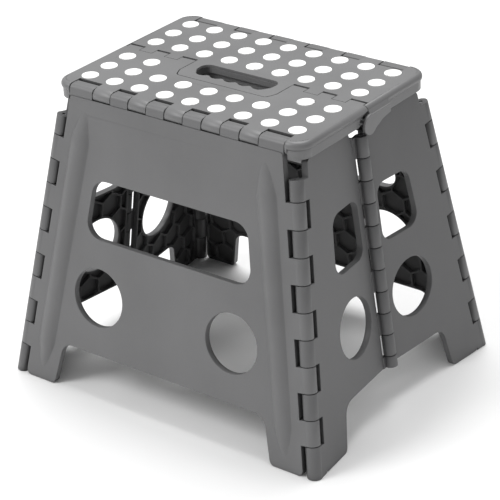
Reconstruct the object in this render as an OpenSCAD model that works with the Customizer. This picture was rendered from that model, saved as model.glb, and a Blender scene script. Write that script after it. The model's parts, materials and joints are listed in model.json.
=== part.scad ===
// Folding step stool: a split tread on two wide leg panels, joined at the sides by folding leaves.
// Origin at the centre of the floor area. +X right, +Y to the back, +Z up, millimetres.
// The stool is drawn open. Panels and leaves are drawn flat in the plane of the front panel,
// then swung out to where they stand, and the rear ones are mirror images of the front ones.

/* [Overall] */
// Height of the tread above the floor
stool_height = 320; // [300:1:340]
// Half the width of the tread
tread_half_width = 150; // [146:1:154]
// Distance of the tread's outer hinge axes from the middle
tread_hinge_y = 100; // [98:1:102]
// Lean of the front and rear panels, outwards at the floor, in degrees
panel_lean = 9.09; // [8.5:0.01:9.5]
// Swing of each leaf from folded flat to open, in degrees
leaf_swing = 85.4; // [85:0.1:86]

/* [Tread] */
// Thickness of the deck
deck_thick = 3; // [2.5:0.1:4]
// Radius of the rounded rim round the deck
rim_r = 5; // [4:0.5:5]
// Radius of the tread corners seen from above, to the middle of the rim
corner_plan_r = 13; // [10:1:16]
// Depth of the centre hinge axis below the tread's outer hinge axes
centre_drop = 10; // [10:0.5:11]
// Height of the interlocking fingers past the middle of the tread
finger_reach = 4.5; // [3.5:0.1:5]
// Half the length of the handle slot
handle_half_length = 47; // [42:1:50]
// Radius of a grip dot
dot_r = 8.7; // [7:0.1:9.5]
// Height of a grip dot above the deck
dot_proud = 0.6; // [0.4:0.1:1]

/* [Panels] */
// Thickness of the panel and leaf skins
skin = 3; // [2.5:0.1:3.5]
// Radius of the holes in the panels and leaves
hole_r = 31; // [26:1:33]
// Distance across a honeycomb cell
cell = 27; // [24:1:34]
// Thickness of the honeycomb ribs and rims
rib = 2.2; // [1.8:0.1:3]
// Height of the long beads above the panel face
bead_height = 5.5; // [4:0.5:6]

/* [Hinges] */
// Outer radius of the corner hinge knuckles
corner_knuckle_r = 7.5; // [7:0.1:7.5]
// Outer radius of the side hinge knuckles
side_knuckle_r = 6.5; // [6:0.1:6.5]
// Radius of the long hinge pins
pin_r = 2; // [1.8:0.1:2.2]
// Running clearance of a pin in its bore
pin_fit = 0.06; // [0.04:0.01:0.1]
// Gap between neighbouring knuckles
knuckle_gap = 0.7; // [0.6:0.1:1]

/* [Hidden] */
$fn = 48;

panel_colour = [0.42, 0.42, 0.43];
tread_colour = [0.5, 0.5, 0.51];
leaf_colour = [0.38, 0.38, 0.39];
steel_colour = [0.7, 0.71, 0.73];
dot_colour = [0.96, 0.96, 0.95];

// Tread hinge: its barrel's top is flush with the deck
barrel_r = 8;
hinge_z = stool_height - barrel_r;
centre_z = hinge_z - centre_drop;

// Panel frame: origin on the tread hinge axis, +Y through the panel from outside to inside, +Z up the panel
leaf_plane_y = -1;                            // plane of the corner hinge axis and of the folded leaf's back
knuckle_swell = 0.3;                          // how far the round knuckles stand above the flat faces
panel_face_y = leaf_plane_y - corner_knuckle_r + knuckle_swell;
panel_back_y = leaf_plane_y - 0.2;
leaf_back_y = leaf_plane_y + 0.4;
leaf_face_y = leaf_plane_y + corner_knuckle_r - knuckle_swell;
corner_x = 136.7;                             // corner hinge axis at the height of the tread hinge
corner_taper = 0.156;                         // how far it runs outwards for each unit down the panel
corner_tilt = atan(corner_taper);
corner_point = [corner_x, leaf_plane_y, 0];
corner_axis = [sin(corner_tilt), 0, -cos(corner_tilt)];

// The side hinge axis lies in the stool's middle plane when open, and centre_drop behind the tread hinge
// when folded. It is the line where the open leaf's hinge plane meets the middle plane, turned back flat.
middle_normal = [0, cos(panel_lean), sin(panel_lean)];
side_height = centre_drop - leaf_plane_y;
side_normal = middle_normal * cos(leaf_swing) - cross(corner_axis, middle_normal) * sin(leaf_swing)
              + corner_axis * (corner_axis * middle_normal) * (1 - cos(leaf_swing));
middle_offset = tread_hinge_y - middle_normal * corner_point;
side_x = corner_x + (middle_offset - side_normal.y * side_height) / side_normal.x;
side_taper = -side_normal.z / side_normal.x;
side_tilt = atan(side_taper);

// Heights in the panel frame
panel_top_z = -4.5;
panel_cells_z = -10.8;                        // the panel is solid above this
panel_foot_z = -317.4;
leaf_top_z = -13;
leaf_shoulder_z = -23;                        // top of the leaf beside the side hinge
leaf_foot_z = -316.6;
leaf_arch_z = -269.5;
below_floor_z = -335;
edge_gap = corner_knuckle_r + 1.5;            // from the corner axis to the edge of a panel or leaf
side_edge_gap = side_knuckle_r + 1.5;

// Corner hinge knuckles along their axis: leaf, panel, leaf and so on, starting and ending with a leaf
corner_count = 11;
corner_start = 23;
corner_first = 28.7;                          // start of the topmost knuckle, which is shorter
corner_pitch = 26.5;
corner_end = 321;

// Side hinge knuckles along their axis: the front leaf has the first and the last
side_start = 24;
side_first = 22;
side_last = 13;
side_end = 270;
side_count = 11;
side_pitch = (side_end - side_start - side_first - side_last) / (side_count - 2);
side_free_fit = 0.8;                          // clearance of the left side pin, whose hinge closes the loop

// Tread hinge knuckles along X: the panel has six, the tread has five and its two corners
tread_pitch = 22.3;
hinge_half_width = 129.5;                     // the outermost panel knuckles are wider and end here
notch_back = 9;                               // from the hinge axis to the back of a notch in the deck

// ---------- 2D outlines ----------

function unit(v) = v / norm(v);
function turned(v, a) = [v.x * cos(a) - v.y * sin(a), v.x * sin(a) + v.y * cos(a)];

// Arc of radius r that rounds the corner b between a and c
function corner_arc(a, b, c, r, steps = 7) =
    r == 0 ? [b] :
    let (u = unit(a - b), v = unit(c - b), half = acos(u * v) / 2,
         centre = b + unit(u + v) * r / sin(half),
         start = b + u * r / tan(half) - centre,
         finish = b + v * r / tan(half) - centre,
         side = sign(cross(start, finish)))
    [for (i = [0:steps]) centre + turned(start, side * (180 - 2 * half) * i / steps)];

// Closed outline through the points, each rounded by its own radius
function rounded(points, radii) =
    let (n = len(points))
    [for (i = [0:n - 1])
        each corner_arc(points[(i + n - 1) % n], points[i], points[(i + 1) % n], radii[i])];

function mirrored(points) =
    concat(points, [for (i = [len(points) - 1:-1:0]) [-points[i].x, points[i].y]]);
function doubled(radii) = concat(radii, [for (i = [len(radii) - 1:-1:0]) radii[i]]);

function corner_edge(z, gap) = corner_x - corner_taper * z - gap / cos(corner_tilt);
function side_edge(z, gap) = side_x + side_taper * z + gap;

// Panel outline with its two feet. A larger inset leaves a rim all round.
module panel_outline(inset = 0) {
    gap = edge_gap + inset;
    ceiling_z = -268.7;
    half = [[corner_edge(panel_top_z, gap), panel_top_z - inset],
            [corner_edge(panel_foot_z, gap), panel_foot_z + inset],
            [138.3 + inset, panel_foot_z + inset],
            [127 + inset, ceiling_z + inset]];
    polygon(rounded(mirrored(half), doubled([2, 6, 7, 14])));
}

module panel_window(grow = 0) {
    half = [[94 + grow, -83.4 + grow],
            [103.6 + grow, -145.2 - grow]];
    polygon(rounded(mirrored(half), doubled([17 + grow, 17 + grow])));
}

module panel_holes(grow = 0) {
    for (side = [-1, 1]) {
        translate([side * 83.4, -206.9]) circle(hole_r + grow);
    }
}

module leaf_outline(inset = 0) {
    gap = edge_gap + inset;
    side_gap = side_edge_gap + inset;
    points = [[side_edge(leaf_shoulder_z, side_gap), leaf_shoulder_z - inset],
              [side_edge(leaf_shoulder_z, 14 + inset), leaf_shoulder_z - inset],
              [side_edge(leaf_top_z, 17 + inset), leaf_top_z - inset],
              [corner_edge(leaf_top_z, gap), leaf_top_z - inset],
              [corner_edge(leaf_foot_z, gap), leaf_foot_z + inset],
              [side_edge(leaf_foot_z, 98 + inset), leaf_foot_z + inset],
              [side_edge(leaf_arch_z, 88 + inset), leaf_arch_z + inset],
              [side_edge(leaf_arch_z, side_gap), leaf_arch_z + inset]];
    polygon(rounded(points, [3, 3, 3, 4, 6, 7, 14, 2]));
}

module leaf_window(grow = 0) {
    points = [[side_edge(-82.5, 17 - grow), -82.5 + grow],
              [side_edge(-82.5, 65 + grow), -82.5 + grow],
              [side_edge(-143.5, 73 + grow), -143.5 - grow],
              [side_edge(-143.5, 17 - grow), -143.5 - grow]];
    polygon(rounded(points, [12, 14, 14, 12] + [1, 1, 1, 1] * grow));
}

module leaf_hole(grow = 0) {
    translate([side_edge(-205, 50.5), -205]) circle(hole_r + grow);
}

// Hexagonal cells over a field, with ribs between them
module hex_cells(low, high) {
    row = cell * sqrt(3) / 2;
    for (j = [ceil(low.y / row):floor(high.y / row)]) {
        for (i = [ceil(low.x / cell) - 1:floor(high.x / cell)]) {
            translate([(i + (abs(j) % 2) / 2) * cell, j * row])
                rotate(30) circle(r = (cell - rib) / sqrt(3), $fn = 6);
        }
    }
}

// ---------- Shared solids ----------

// Raises a 2D shape drawn in X and Z to the layer between two depths
module layer(y0, y1) {
    translate([0, y1, 0]) rotate([90, 0, 0]) linear_extrude(y1 - y0) children();
}

// Extrudes a 2D shape drawn in Y and Z between two places along X
module across(x0, x1) {
    translate([x0, 0, 0]) rotate([90, 0, 90]) linear_extrude(x1 - x0) children();
}

// Stands the flat front panel up at its lean
module at_front() {
    translate([0, -tread_hinge_y, hinge_z]) rotate([-panel_lean, 0, 0]) children();
}

module on_left() {
    mirror([1, 0, 0]) children();
}

// Swings a flat leaf round the corner axis to where it stands when the stool is open
module swung() {
    translate(corner_point) rotate(leaf_swing, corner_axis) translate(-corner_point) children();
}

// Frames whose +Z runs up the corner axis and up the side hinge axis
module on_corner_axis() {
    translate(corner_point) rotate([0, -corner_tilt, 0]) children();
}

module on_side_axis() {
    translate([side_x, centre_drop, 0]) rotate([0, side_tilt, 0]) children();
}

module below_floor() {
    translate([-250, -250, -60]) cube([500, 500, 60]);
}

// Barrel along Z between two distances down the axis
module barrel(r, from, to) {
    translate([0, 0, -to]) cylinder(r = r, h = to - from);
}

function corner_from(k) = k == 0 ? corner_first : corner_start + corner_pitch * k + knuckle_gap / 2;
function corner_to(k) =
    k == corner_count - 1 ? corner_end : corner_start + corner_pitch * (k + 1) - knuckle_gap / 2;
function side_cut(k) =
    k == 0 ? side_start : k == side_count ? side_end : side_start + side_first + side_pitch * (k - 1);

// Corner hinge knuckles from the given one on, every second one: their flat webs in 2D, and their barrels
module corner_fingers(first) {
    for (k = [first:2:corner_count - 1]) {
        translate([corner_x, 0]) rotate(corner_tilt)
            translate([-edge_gap - 2, -corner_to(k)]) square([edge_gap + 2, corner_to(k) - corner_from(k)]);
    }
}

module corner_barrels(first) {
    on_corner_axis() for (k = [first:2:corner_count - 1]) {
        barrel(corner_knuckle_r, corner_from(k), corner_to(k));
    }
}

// ---------- Panels ----------

// Section of a panel knuckle round the tread hinge axis, with its flat top level: Y and Z from the axis
module tread_knuckle_profile() {
    circle(barrel_r - 0.4);
    points = [[-9.7, -11], [-7.1, 7.3], [6.6, 7.3], [6.6, -3], [-3.4, -11]];
    polygon(rounded(points, [0, 5, 2.5, 3, 0]));
}

module panel_tread_knuckle(from, to) {
    rotate([panel_lean, 0, 0]) across(from + knuckle_gap / 2, to - knuckle_gap / 2) tread_knuckle_profile();
}

// Long rounded bead down the side of the panel, which runs out in a slim tip at both ends
module panel_bead() {
    axis_depth = 9.5;
    foot = [153, panel_face_y + axis_depth, -293];
    head = [110.5, panel_face_y + axis_depth, -29];
    lean = atan((foot.x - head.x) / (head.z - foot.z));
    run = norm(head - foot);
    foot_r = axis_depth + bead_height - 1;
    head_r = axis_depth + bead_height;
    tip_r = axis_depth - 0.3;
    intersection() {
        translate(foot) rotate([0, -lean, 0]) rotate_extrude()
            polygon([[0, -12], [tip_r, -12], [foot_r, 20], [head_r, run - 21],
                     [tip_r, run + 13], [0, run + 13]]);
        translate([60, panel_face_y - 10, below_floor_z]) cube([140, 11, 330]);
    }
}

module panel_plate() {
    difference() {
        layer(panel_face_y, panel_back_y) {
            difference() {
                panel_outline();
                panel_window();
                panel_holes();
            }
            for (side = [0, 1]) mirror([side, 0]) corner_fingers(1);
        }
        layer(panel_face_y + skin, 1) intersection() {
            difference() {
                panel_outline(rib);
                panel_window(rib);
                panel_holes(rib);
            }
            hex_cells([-180, panel_foot_z], [180, panel_cells_z]);
            translate([-200, below_floor_z]) square([400, panel_cells_z - below_floor_z]);
        }
    }
}

module panel() {
    difference() {
        at_front() {
            difference() {
                panel_plate();
                rotate([0, 90, 0]) cylinder(r = barrel_r + 0.45, h = 300, center = true);
            }
            for (side = [0, 1]) mirror([side, 0, 0]) {
                panel_bead();
                corner_barrels(1);
            }
            for (k = [-3:2:3]) panel_tread_knuckle((k - 0.5) * tread_pitch, (k + 0.5) * tread_pitch);
            for (side = [0, 1]) mirror([side, 0, 0]) {
                panel_tread_knuckle(4.5 * tread_pitch, hinge_half_width);
            }
        }
        at_front() {
            rotate([0, 90, 0]) cylinder(r = pin_r + pin_fit, h = 300, center = true);
            for (side = [0, 1]) mirror([side, 0, 0]) {
                on_corner_axis() barrel(pin_r + pin_fit, 0, 340);
            }
        }
        below_floor();
    }
}

module front_panel() {
    color(panel_colour) panel();
}

module rear_panel() {
    color(panel_colour) mirror([0, 1, 0]) panel();
}

// ---------- Leaves ----------

module leaf_side_knuckle(from, to) {
    back = -side_knuckle_r + knuckle_swell;
    front = leaf_face_y - centre_drop + 1;
    barrel(side_knuckle_r, from, to);
    translate([0, back, -to]) cube([side_edge_gap + 2, front - back, to - from]);
}

// The leaf's plate, flat: its skin, rim and honeycomb
module leaf_plate() {
    difference() {
        layer(leaf_back_y, leaf_face_y) {
            difference() {
                leaf_outline();
                leaf_window();
                leaf_hole();
            }
            corner_fingers(0);
        }
        layer(leaf_back_y - 1, leaf_face_y - skin) intersection() {
            difference() {
                leaf_outline(rib);
                leaf_window(rib);
                leaf_hole(rib);
            }
            hex_cells([20, leaf_foot_z], [190, leaf_top_z]);
        }
    }
}

// first_side is 0 for a front leaf and 1 for a rear leaf, whose side knuckles fit between the front one's
module leaf(first_side, side_bore_r) {
    difference() {
        at_front() swung() difference() {
            union() {
                leaf_plate();
                corner_barrels(0);
                on_side_axis() for (k = [first_side:2:side_count - 1]) {
                    leaf_side_knuckle(side_cut(k) + knuckle_gap / 2, side_cut(k + 1) - knuckle_gap / 2);
                }
            }
            on_corner_axis() barrel(pin_r + pin_fit, 0, 340);
            on_side_axis() barrel(side_bore_r, 0, 340);
        }
        below_floor();
    }
}

module right_front_leaf() {
    color(leaf_colour) leaf(0, pin_r + pin_fit);
}

module right_rear_leaf() {
    color(leaf_colour) mirror([0, 1, 0]) leaf(1, pin_r + pin_fit);
}

module left_front_leaf() {
    color(leaf_colour) on_left() leaf(0, pin_r + pin_fit);
}

module left_rear_leaf() {
    color(leaf_colour) on_left() mirror([0, 1, 0]) leaf(1, pin_r + side_free_fit);
}

// ---------- Tread ----------

rim_x = tread_half_width - rim_r;
rim_z = stool_height - rim_r;
rim_y = tread_hinge_y + barrel_r - rim_r;
deck_z = stool_height - deck_thick;
wall_bottom_z = centre_z + 0.4;
skirt_out = rim_r - 1.5;
skirt_in = skirt_out - 3;
inner_wall = 2.5;

// Edges of the interlocking fingers, from the tongue outwards
finger_bands = [[59.6, 77.3], [94, 110], [126.6, 144.5]];
finger_back = -3.6;
finger_slot = 3.4;
finger_gap = 0.4;
tongue_half_width = 58.9;
tongue_front_y = -33;
tongue_gap = 0.7;

// Deck area of one half on its own side of the hinge axis, before the middle seam is cut
module deck_area(reach) {
    half = [[rim_x, reach],
            [rim_x, -rim_y]];
    polygon(rounded(mirrored(half), doubled([0, corner_plan_r])));
}

module hinge_notches() {
    for (k = [-3:2:3]) {
        translate([(k - 0.5) * tread_pitch, -tread_hinge_y - 20]) square([tread_pitch, 20 + notch_back]);
    }
    for (side = [0, 1]) mirror([side, 0]) {
        translate([4.5 * tread_pitch, -tread_hinge_y - 20])
            square([hinge_half_width - 4.5 * tread_pitch, 20 + notch_back]);
    }
}

// The deck stops at the hinge axis between the corners, where the barrels take over
module hinge_front_strip() {
    translate([-hinge_half_width, -tread_hinge_y - 20]) square([2 * hinge_half_width, 20]);
}

module tongue_area(grow) {
    half = [[tongue_half_width + grow, 20],
            [tongue_half_width + grow, -22],
            [tongue_half_width - 5 + grow, tongue_front_y - grow]];
    polygon(rounded(mirrored(half), doubled([0, 8, 5 + grow])));
}

// The front half ends in fingers that reach past the middle, and leaves room for the tongue
module front_deck_cut() {
    difference() {
        translate([-200, finger_back]) square([400, 60]);
        for (band = finger_bands) for (side = [0, 1]) mirror([side, 0]) {
            translate([band[0], finger_back - 1]) square([band[1] - band[0], finger_reach - finger_back + 1]);
        }
        for (side = [0, 1]) mirror([side, 0]) {
            translate([finger_bands[2][1], finger_back - 1]) square([10, -finger_back + 0.7]);
        }
    }
    tongue_area(tongue_gap);
}

module rear_deck_cut() {
    difference() {
        union() {
            translate([-200, -60]) square([400, 60.3]);
            for (band = finger_bands) for (side = [0, 1]) mirror([side, 0]) {
                translate([band[0] - finger_gap, -1])
                    square([band[1] - band[0] + 2 * finger_gap, finger_reach + finger_slot + 1]);
            }
        }
        for (i = [0:1]) for (side = [0, 1]) mirror([side, 0]) {
            translate([finger_bands[i][1] + finger_gap, finger_back + 0.5])
                square([finger_bands[i + 1][0] - finger_bands[i][1] - 2 * finger_gap, 10]);
        }
        tongue_area(0);
    }
}

// Rounded rim bar and skirt down the right side of one half, as far as the middle
module side_rim(reach) {
    run = rim_y - corner_plan_r + reach;
    translate([rim_x, -rim_y + corner_plan_r, rim_z]) rotate([-90, 0, 0]) cylinder(r = rim_r, h = run);
    translate([rim_x + skirt_in, -rim_y + corner_plan_r, wall_bottom_z])
        cube([skirt_out - skirt_in, run, rim_z - wall_bottom_z]);
}

// Quarter turn of rim and skirt at the front corner
module corner_rim() {
    translate([rim_x - corner_plan_r, -rim_y + corner_plan_r, 0])
        rotate([0, 0, -90]) rotate_extrude(angle = 90) {
            translate([corner_plan_r, rim_z]) circle(rim_r);
            translate([corner_plan_r + skirt_in, wall_bottom_z])
                square([skirt_out - skirt_in, rim_z - wall_bottom_z]);
        }
}

// Straight bit of rim between the corner and the first notch
module front_rim() {
    inner = hinge_half_width + knuckle_gap / 2;
    translate([inner, -rim_y, rim_z]) rotate([0, 90, 0])
        cylinder(r = rim_r, h = rim_x - corner_plan_r - inner);
    tread_barrel(inner, rim_x - corner_plan_r);
}

module tread_barrel(x0, x1) {
    translate([x0, -tread_hinge_y, hinge_z]) rotate([0, 90, 0]) cylinder(r = barrel_r, h = x1 - x0);
    translate([x0, -tread_hinge_y, hinge_z - 6])
        cube([x1 - x0, notch_back + 4, stool_height - hinge_z + 6]);
}

// Everything that the two halves share, drawn for the front half
module tread_shell(reach) {
    translate([0, 0, deck_z]) linear_extrude(deck_thick) difference() {
        deck_area(reach);
        hinge_notches();
        hinge_front_strip();
    }
    for (side = [0, 1]) mirror([side, 0, 0]) {
        side_rim(reach);
        corner_rim();
        front_rim();
    }
    for (k = [-4:2:4]) tread_barrel((k - 0.5) * tread_pitch + knuckle_gap / 2,
                                    (k + 0.5) * tread_pitch - knuckle_gap / 2);
    translate([-rim_x, -tread_hinge_y + notch_back + 2.5, wall_bottom_z])
        cube([2 * rim_x, inner_wall, deck_z - wall_bottom_z]);
}

// Honeycomb ribs under the deck, inside an area
module deck_ribs(low, high) {
    bottom_z = wall_bottom_z + 2.5;
    translate([0, 0, bottom_z]) linear_extrude(deck_z - bottom_z) difference() {
        translate(low) square(high - low);
        hex_cells(low - [cell, cell], high + [cell, cell]);
        children();
    }
}

// Upright wall below the deck near the middle seam
module wall_box(x0, x1, y0, y1) {
    bottom_z = wall_bottom_z + 1.5;
    translate([x0, y0, bottom_z]) cube([x1 - x0, y1 - y0, deck_z - bottom_z]);
}

module tread_pin_bore() {
    translate([0, -tread_hinge_y, hinge_z]) rotate([0, 90, 0])
        cylinder(r = pin_r + pin_fit, h = 2 * 6.2 * tread_pitch, center = true);
}

// Centre hinge: the rear half holds the pin in a lobe outside the rim and in an ear inside it.
// The front half's open hook rests on the pin, and lets it leave on its way to the folded place.
centre_pin_r = 2.5;
lobe_r = 10.5;
lobe_x = [tread_half_width + 0.4, tread_half_width + 3.4];
hook_x = [137, 139.7];
ear_x = [130.5, 136.5];
hook_r = 6;
ear_r = 5.5;
rim_arc_r = 13;

module hook_profile() {
    inner = centre_pin_r + 0.3;
    translate([0, centre_z]) difference() {
        union() {
            circle(hook_r);
            translate([inner, 0]) square([hook_r - inner - 1.5, deck_z - centre_z + 1]);
        }
        circle(inner);
        translate([-20, -inner]) square([20, 40]);
        translate([-1, 0]) square([inner + 1, 40]);
    }
}

module ear_profile() {
    deck_y = finger_reach + finger_slot + 0.4;
    translate([0, centre_z]) {
        circle(ear_r);
        polygon([[0, -ear_r], [ear_r * 0.7, -ear_r * 0.7],
                 [deck_y + 8, 3], [deck_y + 8, deck_z - centre_z + 1],
                 [deck_y, deck_z - centre_z + 1], [-ear_r * 0.5, ear_r * 0.86]]);
    }
}

// Rounded lobe that hangs from the rim and widens into it
module lobe_profile() {
    translate([0, centre_z]) {
        circle(lobe_r);
        polygon([[0, -lobe_r], [lobe_r * 0.8, -lobe_r * 0.6], [20, -1], [34, 1.2], [34, 10],
                 [4, 10], [-lobe_r * 0.28, lobe_r * 0.96]]);
    }
}

// Bevelled shoulder that joins the lobe to the rim
module lobe_shoulder() {
    translate([0, 34, 0]) rotate([90, 0, 0]) linear_extrude(33.7) {
        polygon([[rim_x + skirt_in + 1, 306], [lobe_x[1] - 0.3, 306], [lobe_x[1] - 0.3, 310.4],
                 [tread_half_width - 0.3, rim_z + 1.2], [rim_x + skirt_in + 1, rim_z + 1.2]]);
    }
}

module centre_pin_bore() {
    translate([lobe_x[0] - 40, 0, centre_z]) rotate([0, 90, 0])
        cylinder(r = centre_pin_r + pin_fit, h = 42);
}

function dot_x(i) = (i - 4) * 31.36;
dot_row_pitch = 28.8;
first_dot_y = 22.8;

// Grip dots of the front half, as a group: the row next to the tongue has only its outer four
module front_dots(r, z, h) {
    for (row = [0:2]) for (i = [0:8]) {
        if (row > 0 || abs(i - 4) > 2) {
            translate([dot_x(i), -first_dot_y - row * dot_row_pitch, z]) cylinder(r = r, h = h);
        }
    }
}

module rear_dots(r, z, h) {
    for (row = [0:2]) for (i = [0:8]) {
        translate([dot_x(i), first_dot_y + row * dot_row_pitch, z]) cylinder(r = r, h = h);
    }
}

dot_pocket = 1;
grid_half_width = 128;
grid_far_y = tread_hinge_y - notch_back - 5.2;
rear_wall_y = finger_reach + finger_slot + 0.5;

module front_tread() {
    color(tread_colour) difference() {
        union() {
            difference() {
                tread_shell(finger_reach);
                translate([0, 0, centre_z - 20]) linear_extrude(60) front_deck_cut();
            }
            for (side = [0, 1]) mirror([side, 0, 0]) across(hook_x[0], hook_x[1]) hook_profile();
        }
        for (side = [0, 1]) mirror([side, 0, 0]) {
            translate([hook_x[1] + 0.1, 0, centre_z]) rotate([0, 90, 0]) cylinder(r = rim_arc_r, h = 20);
        }
        tread_pin_bore();
        front_dots(dot_r + 0.05, stool_height - dot_pocket, 5);
    }
}

// Honeycomb and walls moulded under the front half's deck
module front_tread_grid() {
    color(tread_colour) {
        for (side = [0, 1]) mirror([side, 0, 0]) {
            wall_box(62.5, grid_half_width, -8.5, -6);
            wall_box(60, 62.5, -37, -6);
        }
        wall_box(-62.5, 62.5, -37, -34.3);
        deck_ribs([-grid_half_width, -grid_far_y], [grid_half_width, -8]) tongue_area(3);
    }
}

// Handle slot, with scallops for the fingers along its front edge
module handle_slot(grow = 0) {
    half = [[handle_half_length + grow, 4.5 + grow],
            [handle_half_length - 2 + grow, -19.5 - grow]];
    polygon(rounded(mirrored(half), doubled([9 + grow, 11 + grow])));
    for (i = [-2:2]) translate([i * 17, -13.5]) circle(9 + grow);
}

module rear_tread() {
    color(tread_colour) difference() {
        union() {
            difference() {
                mirror([0, 1, 0]) tread_shell(-finger_back);
                translate([0, 0, centre_z - 20]) linear_extrude(60) rear_deck_cut();
            }
            translate([0, 0, deck_z]) linear_extrude(deck_thick) tongue_area(0);
            for (side = [0, 1]) mirror([side, 0, 0]) {
                across(ear_x[0], ear_x[1]) ear_profile();
                across(lobe_x[0], lobe_x[1]) lobe_profile();
                lobe_shoulder();
            }
        }
        for (side = [0, 1]) mirror([side, 0, 0]) centre_pin_bore();
        mirror([0, 1, 0]) tread_pin_bore();
        translate([0, 0, deck_z - 1]) linear_extrude(deck_thick + 2) handle_slot();
        rear_dots(dot_r + 0.05, stool_height - dot_pocket, 5);
    }
}

module rear_tread_grid() {
    color(tread_colour) {
        wall_box(-grid_half_width, grid_half_width, rear_wall_y, rear_wall_y + inner_wall);
        deck_ribs([-grid_half_width, rear_wall_y + 1], [grid_half_width, grid_far_y]);
    }
}

// Wall round the tongue and lip round the handle slot, under the rear half's deck
module handle_well() {
    edge = 1.8;
    lip_depth = 6;
    well_bottom_z = wall_bottom_z + 1.5;
    color(tread_colour) {
        translate([0, 0, well_bottom_z]) linear_extrude(deck_z - well_bottom_z) difference() {
            tongue_area(-edge);
            tongue_area(-edge - inner_wall);
            translate([-100, rear_wall_y - 0.2]) square([200, 30]);
        }
        translate([0, 0, deck_z - lip_depth]) linear_extrude(lip_depth) difference() {
            handle_slot(inner_wall);
            handle_slot();
        }
    }
}

// ---------- Pins and dots ----------

module tread_pin() {
    translate([0, -tread_hinge_y, hinge_z]) rotate([0, 90, 0])
        cylinder(r = pin_r, h = 2 * 6 * tread_pitch - 4, center = true);
}

module front_tread_pin() {
    color(steel_colour) tread_pin();
}

module rear_tread_pin() {
    color(steel_colour) mirror([0, 1, 0]) tread_pin();
}

module right_centre_pin() {
    color(steel_colour) translate([ear_x[0] + 0.5, 0, centre_z]) rotate([0, 90, 0])
        cylinder(r = centre_pin_r, h = lobe_x[0] - ear_x[0] + 1);
}

module left_centre_pin() {
    color(steel_colour) on_left() right_centre_pin();
}

module corner_pin() {
    at_front() on_corner_axis() barrel(pin_r, corner_first + 1, corner_end - 8);
}

module right_front_pin() {
    color(steel_colour) corner_pin();
}

module right_rear_pin() {
    color(steel_colour) mirror([0, 1, 0]) corner_pin();
}

module left_front_pin() {
    color(steel_colour) on_left() corner_pin();
}

module left_rear_pin() {
    color(steel_colour) on_left() mirror([0, 1, 0]) corner_pin();
}

module side_pin() {
    at_front() swung() on_side_axis() barrel(pin_r, side_start + 1, side_end - 1);
}

module right_side_pin() {
    color(steel_colour) side_pin();
}

module left_side_pin() {
    color(steel_colour) on_left() side_pin();
}

module front_grip_dots() {
    color(dot_colour) front_dots(dot_r, stool_height - dot_pocket, dot_pocket + dot_proud);
}

module rear_grip_dots() {
    color(dot_colour) rear_dots(dot_r, stool_height - dot_pocket, dot_pocket + dot_proud);
}

front_panel();
rear_panel();
front_tread();
rear_tread();
right_front_leaf();
right_rear_leaf();
left_front_leaf();
left_rear_leaf();
front_tread_pin();
rear_tread_pin();
right_centre_pin();
left_centre_pin();
right_front_pin();
right_rear_pin();
left_front_pin();
left_rear_pin();
right_side_pin();
left_side_pin();
front_grip_dots();
rear_grip_dots();
front_tread_grid();
rear_tread_grid();
handle_well();
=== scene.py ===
import json
import math

import bpy
from mathutils import Matrix, Vector

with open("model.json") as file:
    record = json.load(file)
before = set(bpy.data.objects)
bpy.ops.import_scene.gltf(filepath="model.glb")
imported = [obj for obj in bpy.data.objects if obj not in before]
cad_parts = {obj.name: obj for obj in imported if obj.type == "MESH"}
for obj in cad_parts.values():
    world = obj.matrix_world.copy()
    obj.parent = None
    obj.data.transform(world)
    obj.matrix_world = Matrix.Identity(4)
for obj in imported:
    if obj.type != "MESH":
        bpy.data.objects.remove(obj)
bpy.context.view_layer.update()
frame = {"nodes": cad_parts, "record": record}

NODES = frame["nodes"]
RECORD = frame["record"]
SLOT_OF = {s["node"]: s["material_slot"] for s in RECORD["subparts"]}

# How the stool stands, in degrees
PANEL_LEAN = 9.09
LEAF_TURN = 85.4

# ---------- Camera ----------

CAMERA_AZIMUTH = 37.653
CAMERA_ELEVATION = 27.398
CAMERA_ROLL = -0.0404416
CAMERA_PLACE = (1.1337, -1.4660, 1.0858)
CAMERA_LENS = 146.48
SENSOR_WIDTH = 36


def make_camera():
    """A camera at the reference angle, rolled by a small amount about its own axis."""
    azimuth, elevation = math.radians(CAMERA_AZIMUTH), math.radians(CAMERA_ELEVATION)
    back = Vector((math.sin(azimuth) * math.cos(elevation),
                   -math.cos(azimuth) * math.cos(elevation),
                   math.sin(elevation)))
    right = (-back).cross(Vector((0, 0, 1))).normalized()
    up = right.cross(-back)
    c, s = math.cos(CAMERA_ROLL), math.sin(CAMERA_ROLL)
    right, up = c * right + s * up, c * up - s * right
    data = bpy.data.cameras.new("camera")
    data.sensor_width = SENSOR_WIDTH
    data.lens = CAMERA_LENS
    data.clip_start, data.clip_end = 0.05, 50
    camera = bpy.data.objects.new("camera", data)
    camera.rotation_mode = "QUATERNION"
    axes = (right, up, back)
    turn = Matrix([[axes[j][i] for j in range(3)] for i in range(3)])
    camera.rotation_quaternion = turn.to_quaternion()
    camera.location = CAMERA_PLACE
    bpy.context.scene.collection.objects.link(camera)
    bpy.context.scene.camera = camera


# ---------- Node helpers ----------

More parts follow.
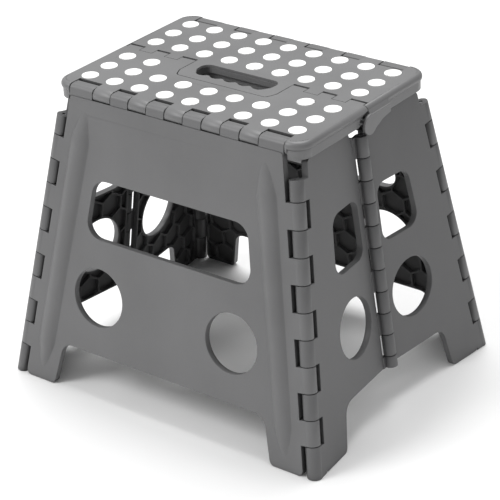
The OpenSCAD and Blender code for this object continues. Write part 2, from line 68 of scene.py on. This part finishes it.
class Graph:
    """A short way to add and link shader nodes."""

    def __init__(self, name):
        self.material = bpy.data.materials.new(name)
        self.material.use_nodes = True
        self.tree = self.material.node_tree
        self.tree.nodes.clear()
        self.shader = self.add("ShaderNodeBsdfPrincipled")
        output = self.add("ShaderNodeOutputMaterial")
        self.tree.links.new(self.shader.outputs["BSDF"], output.inputs["Surface"])

    def add(self, kind, **settings):
        node = self.tree.nodes.new(kind)
        for key, value in settings.items():
            setattr(node, key, value)
        return node

    def put(self, socket, value):
        """Links an output to a socket, or sets the socket's value."""
        if isinstance(value, bpy.types.NodeSocket):
            self.tree.links.new(value, socket)
        else:
            socket.default_value = value

    def math(self, operation, a, b=0.0, clamp=False):
        node = self.add("ShaderNodeMath", operation=operation, use_clamp=clamp)
        self.put(node.inputs[0], a)
        self.put(node.inputs[1], b)
        return node.outputs[0]

    def mapped(self, value, low, high, to_low, to_high):
        """Maps low to to_low and high to to_high, with a smooth step between and level beyond."""
        node = self.add("ShaderNodeMapRange", interpolation_type="SMOOTHSTEP")
        for socket, v in zip(node.inputs, (value, low, high, to_low, to_high)):
            self.put(socket, v)
        return node.outputs[0]

    def mix(self, factor, a, b):
        """Blends two colours. The Mix node has its colour sockets at 6 and 7, and their output at 2."""
        node = self.add("ShaderNodeMix", data_type="RGBA")
        self.put(node.inputs[0], factor)
        self.put(node.inputs[6], a)
        self.put(node.inputs[7], b)
        return node.outputs[2]

    def place(self):
        """The place on the piece in metres, which stays with the piece when it moves."""
        return self.add("ShaderNodeTexCoord").outputs["Object"]

    def stretched(self, scale):
        node = self.add("ShaderNodeMapping")
        self.put(node.inputs["Vector"], self.place())
        node.inputs["Scale"].default_value = scale
        return node.outputs["Vector"]

    def noise(self, vector, scale, detail, rough):
        node = self.add("ShaderNodeTexNoise")
        self.put(node.inputs["Vector"], vector)
        node.inputs["Scale"].default_value = scale
        node.inputs["Detail"].default_value = detail
        node.inputs["Roughness"].default_value = rough
        return node.outputs["Fac"]

    def facing(self, direction):
        """How much the surface faces a direction that moves with the piece."""
        normal = self.add("ShaderNodeNewGeometry").outputs["Normal"]
        turn = self.add("ShaderNodeVectorTransform", vector_type="NORMAL",
                        convert_from="WORLD", convert_to="OBJECT")
        self.put(turn.inputs[0], normal)
        dot = self.add("ShaderNodeVectorMath", operation="DOT_PRODUCT")
        self.put(dot.inputs[0], turn.outputs[0])
        dot.inputs[1].default_value = direction
        return dot.outputs["Value"]

    def rounded_normal(self, radius):
        node = self.add("ShaderNodeBevel", samples=4)
        node.inputs["Radius"].default_value = radius
        return node.outputs["Normal"]

    def edge_amount(self, radius):
        """0 on flat areas and about 0.3 on a square edge."""
        dot = self.add("ShaderNodeVectorMath", operation="DOT_PRODUCT")
        self.put(dot.inputs[0], self.rounded_normal(radius))
        self.put(dot.inputs[1], self.add("ShaderNodeNewGeometry").outputs["Normal"])
        return self.math("SUBTRACT", 1.0, dot.outputs["Value"], clamp=True)

    def bumped(self, height, distance, strength, normal=None):
        node = self.add("ShaderNodeBump")
        node.inputs["Distance"].default_value = distance
        node.inputs["Strength"].default_value = strength
        self.put(node.inputs["Height"], height)
        if normal is not None:
            self.put(node.inputs["Normal"], normal)
        return node.outputs["Normal"]


# ---------- Materials ----------

# Reach of the rubbed edges with their painted highlight, of the painted shade in cells and gaps, and of the
# rubber dots' rims, in metres
EDGE_RADIUS = 0.0007
SHADE_REACH = 0.016
RUBBER_RIM_RADIUS = 0.0005
RUBBER_EDGE_RADIUS = 0.0004

# Each plastic's base colour, how dark the painted shade on its inner faces is, and its roughness. The
# tread's lighter and the leaves' darker colours are partly painted light: the top takes more light, the
# sides less.
PLASTICS = {
    "tread_plastic": ((0.161, 0.161, 0.163), 0.3, 0.43),
    "panel_plastic": ((0.140, 0.140, 0.142), 0.22, 0.45),
    "leaf_plastic": ((0.119, 0.119, 0.121), 0.22, 0.46),
}


def scaled(colour, factor):
    """A lighter or darker colour, with an alpha of 1."""
    return tuple(min(1.0, factor * c) for c in colour) + (1.0,)


def moulded_plastic(name, colour, inward, inner_shade, roughness):
    """Satin moulded plastic: spark-eroded grain, faint flow clouds, edges lightened by rubbing and a painted
    highlight, and painted shade in cells, gaps and on the faces that look inwards.
    """
    g = Graph(name)
    place = g.place()
    clouds = g.noise(place, 9.0, 4.0, 0.55)
    flow = g.noise(g.stretched((14.0, 14.0, 3.0)), 1.0, 5.0, 0.6)
    grain = g.noise(place, 1500.0, 2.0, 0.6)
    dust = g.noise(place, 260.0, 4.0, 0.7)
    scuffs = g.noise(g.stretched((60.0, 75.0, 900.0)), 1.0, 2.0, 0.5)

    shade = g.mapped(clouds, 0.3, 0.7, 0.94, 1.06)
    shade = g.math("MULTIPLY", shade, g.mapped(flow, 0.3, 0.7, 0.975, 1.025))
    shade = g.math("MULTIPLY", shade, g.mapped(grain, 0.35, 0.65, 0.97, 1.03))
    base = g.add("ShaderNodeCombineColor")
    for i in range(3):
        g.put(base.inputs[i], g.math("MULTIPLY", shade, colour[i]))
    lit = g.mix(g.mapped(dust, 0.66, 0.8, 0.0, 0.16), base.outputs[0],
                scaled(colour, 1.35))
    # Lighter edges: partly real rubbing, partly a painted highlight along the rounded edges.
    edges = g.mapped(g.edge_amount(EDGE_RADIUS), 0.02, 0.3, 0.0, 0.35)
    lit = g.mix(edges, lit, scaled(colour, 1.6))

    # Painted shade: cells, gaps and faces that look inwards are blended towards a near-black copy of the
    # colour, in place of the shade the light would cast there.
    occlusion = g.add("ShaderNodeAmbientOcclusion", samples=4)
    occlusion.inputs["Distance"].default_value = SHADE_REACH
    cell_painted_shade = g.mapped(occlusion.outputs["AO"], 0.15, 0.75, 0.25, 1.0)
    inside = g.mapped(g.facing(inward), 0.25, 0.75, 1.0, inner_shade)
    total_painted_shade = g.math("MULTIPLY", cell_painted_shade, inside)
    g.put(g.shader.inputs["Base Color"], g.mix(total_painted_shade, scaled(colour, 0.12), lit))

    rough = g.math("ADD", g.mapped(clouds, 0.3, 0.7, -0.03, 0.03), roughness)
    rough = g.math("ADD", rough, g.mapped(scuffs, 0.62, 0.8, 0.0, 0.1))
    rough = g.math("SUBTRACT", rough, g.math("MULTIPLY", edges, 0.2), clamp=True)
    g.put(g.shader.inputs["Roughness"], rough)
    g.shader.inputs["Specular IOR Level"].default_value = 0.42

    height = g.math("ADD", g.math("MULTIPLY", grain, 0.7), g.math("MULTIPLY", dust, 0.3))
    fine = g.bumped(height, 0.00004, 0.55, g.rounded_normal(EDGE_RADIUS))
    g.put(g.shader.inputs["Normal"], g.bumped(flow, 0.00025, 0.35, fine))
    return g.material


def grip_rubber(name):
    """White soft rubber with a fine matt grain and a little grey dirt in it."""
    g = Graph(name)
    place = g.place()
    grain = g.noise(place, 1900.0, 2.0, 0.6)
    dirt = g.noise(place, 70.0, 5.0, 0.65)
    worn = g.mapped(dirt, 0.52, 0.75, 0.0, 0.22)
    colour = g.mix(worn, (0.90, 0.90, 0.89, 1.0), (0.72, 0.71, 0.69, 1.0))
    rim = g.mapped(g.edge_amount(RUBBER_RIM_RADIUS), 0.02, 0.3, 0.0, 0.25)
    g.put(g.shader.inputs["Base Color"], g.mix(rim, colour, (0.78, 0.78, 0.77, 1.0)))
    g.put(g.shader.inputs["Roughness"], g.mapped(grain, 0.3, 0.7, 0.62, 0.78))
    g.shader.inputs["Specular IOR Level"].default_value = 0.3
    g.put(g.shader.inputs["Normal"], g.bumped(grain, 0.00005, 0.6, g.rounded_normal(RUBBER_EDGE_RADIUS)))
    return g.material


def drawn_steel(name):
    """Bright drawn wire with fine lines and a few dull spots."""
    g = Graph(name)
    lines = g.noise(g.stretched((900.0, 900.0, 40.0)), 1.0, 3.0, 0.6)
    spots = g.noise(g.place(), 120.0, 4.0, 0.6)
    dull = g.mapped(spots, 0.5, 0.75, 0.0, 0.5)
    g.put(g.shader.inputs["Base Color"], g.mix(dull, (0.62, 0.63, 0.65, 1.0), (0.36, 0.35, 0.34, 1.0)))
    g.put(g.shader.inputs["Roughness"],
          g.math("ADD", g.mapped(lines, 0.3, 0.7, 0.24, 0.36), g.math("MULTIPLY", dull, 0.3)))
    g.shader.inputs["Metallic"].default_value = 1.0
    g.put(g.shader.inputs["Normal"], g.bumped(lines, 0.00003, 0.5))
    return g.material


LEAF_INWARD_RISE = 0.14


def inward_of(name):
    """The direction from a piece's outer face to the inside of the open stool; faces that look along it get
    painted shade.
    """
    lean = math.radians(PANEL_LEAN)
    turn = math.radians(LEAF_TURN)
    if name.endswith("tread"):
        return (0.0, 0.0, -1.0)
    if name.endswith("panel"):
        y = 1 if name.startswith("front") else -1
        return (0.0, y * math.cos(lean), math.sin(lean))
    x = -1 if name.startswith("right") else 1
    y = 1 if "front" in name else -1
    return (x * math.sin(turn), y * math.cos(turn), LEAF_INWARD_RISE)


# Rounding of the edges, in metres and degrees
SOFT_EDGE = 0.0004
SHARP_ANGLE = 40
WELD_REACH = 0.000003


def soften(piece):
    """Rounds the sharp edges by a small radius, with normals that keep the flat faces flat."""
    weld = piece.modifiers.new("weld", "WELD")
    weld.merge_threshold = WELD_REACH
    bevel = piece.modifiers.new("soft_edges", "BEVEL")
    bevel.width = SOFT_EDGE
    bevel.segments = 2
    bevel.limit_method = "ANGLE"
    bevel.angle_limit = math.radians(SHARP_ANGLE)
    bevel.use_clamp_overlap = False
    bevel.harden_normals = True


def finish_pieces():
    """Gives every CAD node the material of its slot and its soft edges."""
    steel = drawn_steel("pin_steel")
    rubber = grip_rubber("grip_rubber")
    for name, piece in NODES.items():
        slot = SLOT_OF[name]
        if slot == "pin_steel":
            material = steel
        elif slot == "grip_rubber":
            material = rubber
        else:
            colour, inner_shade, roughness = PLASTICS[slot]
            material = moulded_plastic(name + "_plastic", colour, inward_of(name),
                                       inner_shade, roughness)
        piece.data.materials.clear()
        piece.data.materials.append(material)
        soften(piece)


# ---------- Stage ----------

FLOOR_HALF = 12.0
FLOOR_DROP = 0.0002
LIGHT_TARGET = (0.0, 0.0, 0.18)
WORLD_STRENGTH = 0.5


def make_floor():
    """A wide pale floor, just below the feet."""
    g = Graph("pale_floor")
    clouds = g.noise(g.place(), 2.5, 4.0, 0.5)
    pale = g.mix(clouds, (0.90, 0.90, 0.90, 1.0), (0.94, 0.94, 0.94, 1.0))
    g.put(g.shader.inputs["Base Color"], pale)
    g.shader.inputs["Roughness"].default_value = 0.7
    mesh = bpy.data.meshes.new("floor")
    corners = [(x * FLOOR_HALF, y * FLOOR_HALF, 0) for x, y in ((-1, -1), (1, -1), (1, 1), (-1, 1))]
    mesh.from_pydata(corners, [], [(0, 1, 2, 3)])
    mesh.materials.append(g.material)
    floor = bpy.data.objects.new("floor", mesh)
    floor.location.z = -FLOOR_DROP
    bpy.context.scene.collection.objects.link(floor)


def area_light(name, place, size, power):
    """A soft round light that points at the middle of the stool."""
    data = bpy.data.lights.new(name, "AREA")
    data.shape = "DISK"
    data.size = size
    data.energy = power
    light = bpy.data.objects.new(name, data)
    light.location = place
    light.rotation_mode = "QUATERNION"
    light.rotation_quaternion = (Vector(LIGHT_TARGET) - Vector(place)).to_track_quat("-Z", "Y")
    bpy.context.scene.collection.objects.link(light)


def make_light():
    world = bpy.data.worlds.new("studio")
    world.use_nodes = True
    background = world.node_tree.nodes["Background"]
    background.inputs["Color"].default_value = (1.0, 1.0, 1.0, 1.0)
    background.inputs["Strength"].default_value = WORLD_STRENGTH
    bpy.context.scene.world = world
    area_light("key", (-1.5, -2.1, 2.6), size=1.6, power=58.0)
    area_light("top", (-0.3, 0.8, 3.0), size=2.0, power=70.0)
    bpy.context.scene.view_settings.view_transform = "Standard"


make_camera()
finish_pieces()
make_floor()
make_light()

bpy.context.view_layer.update()
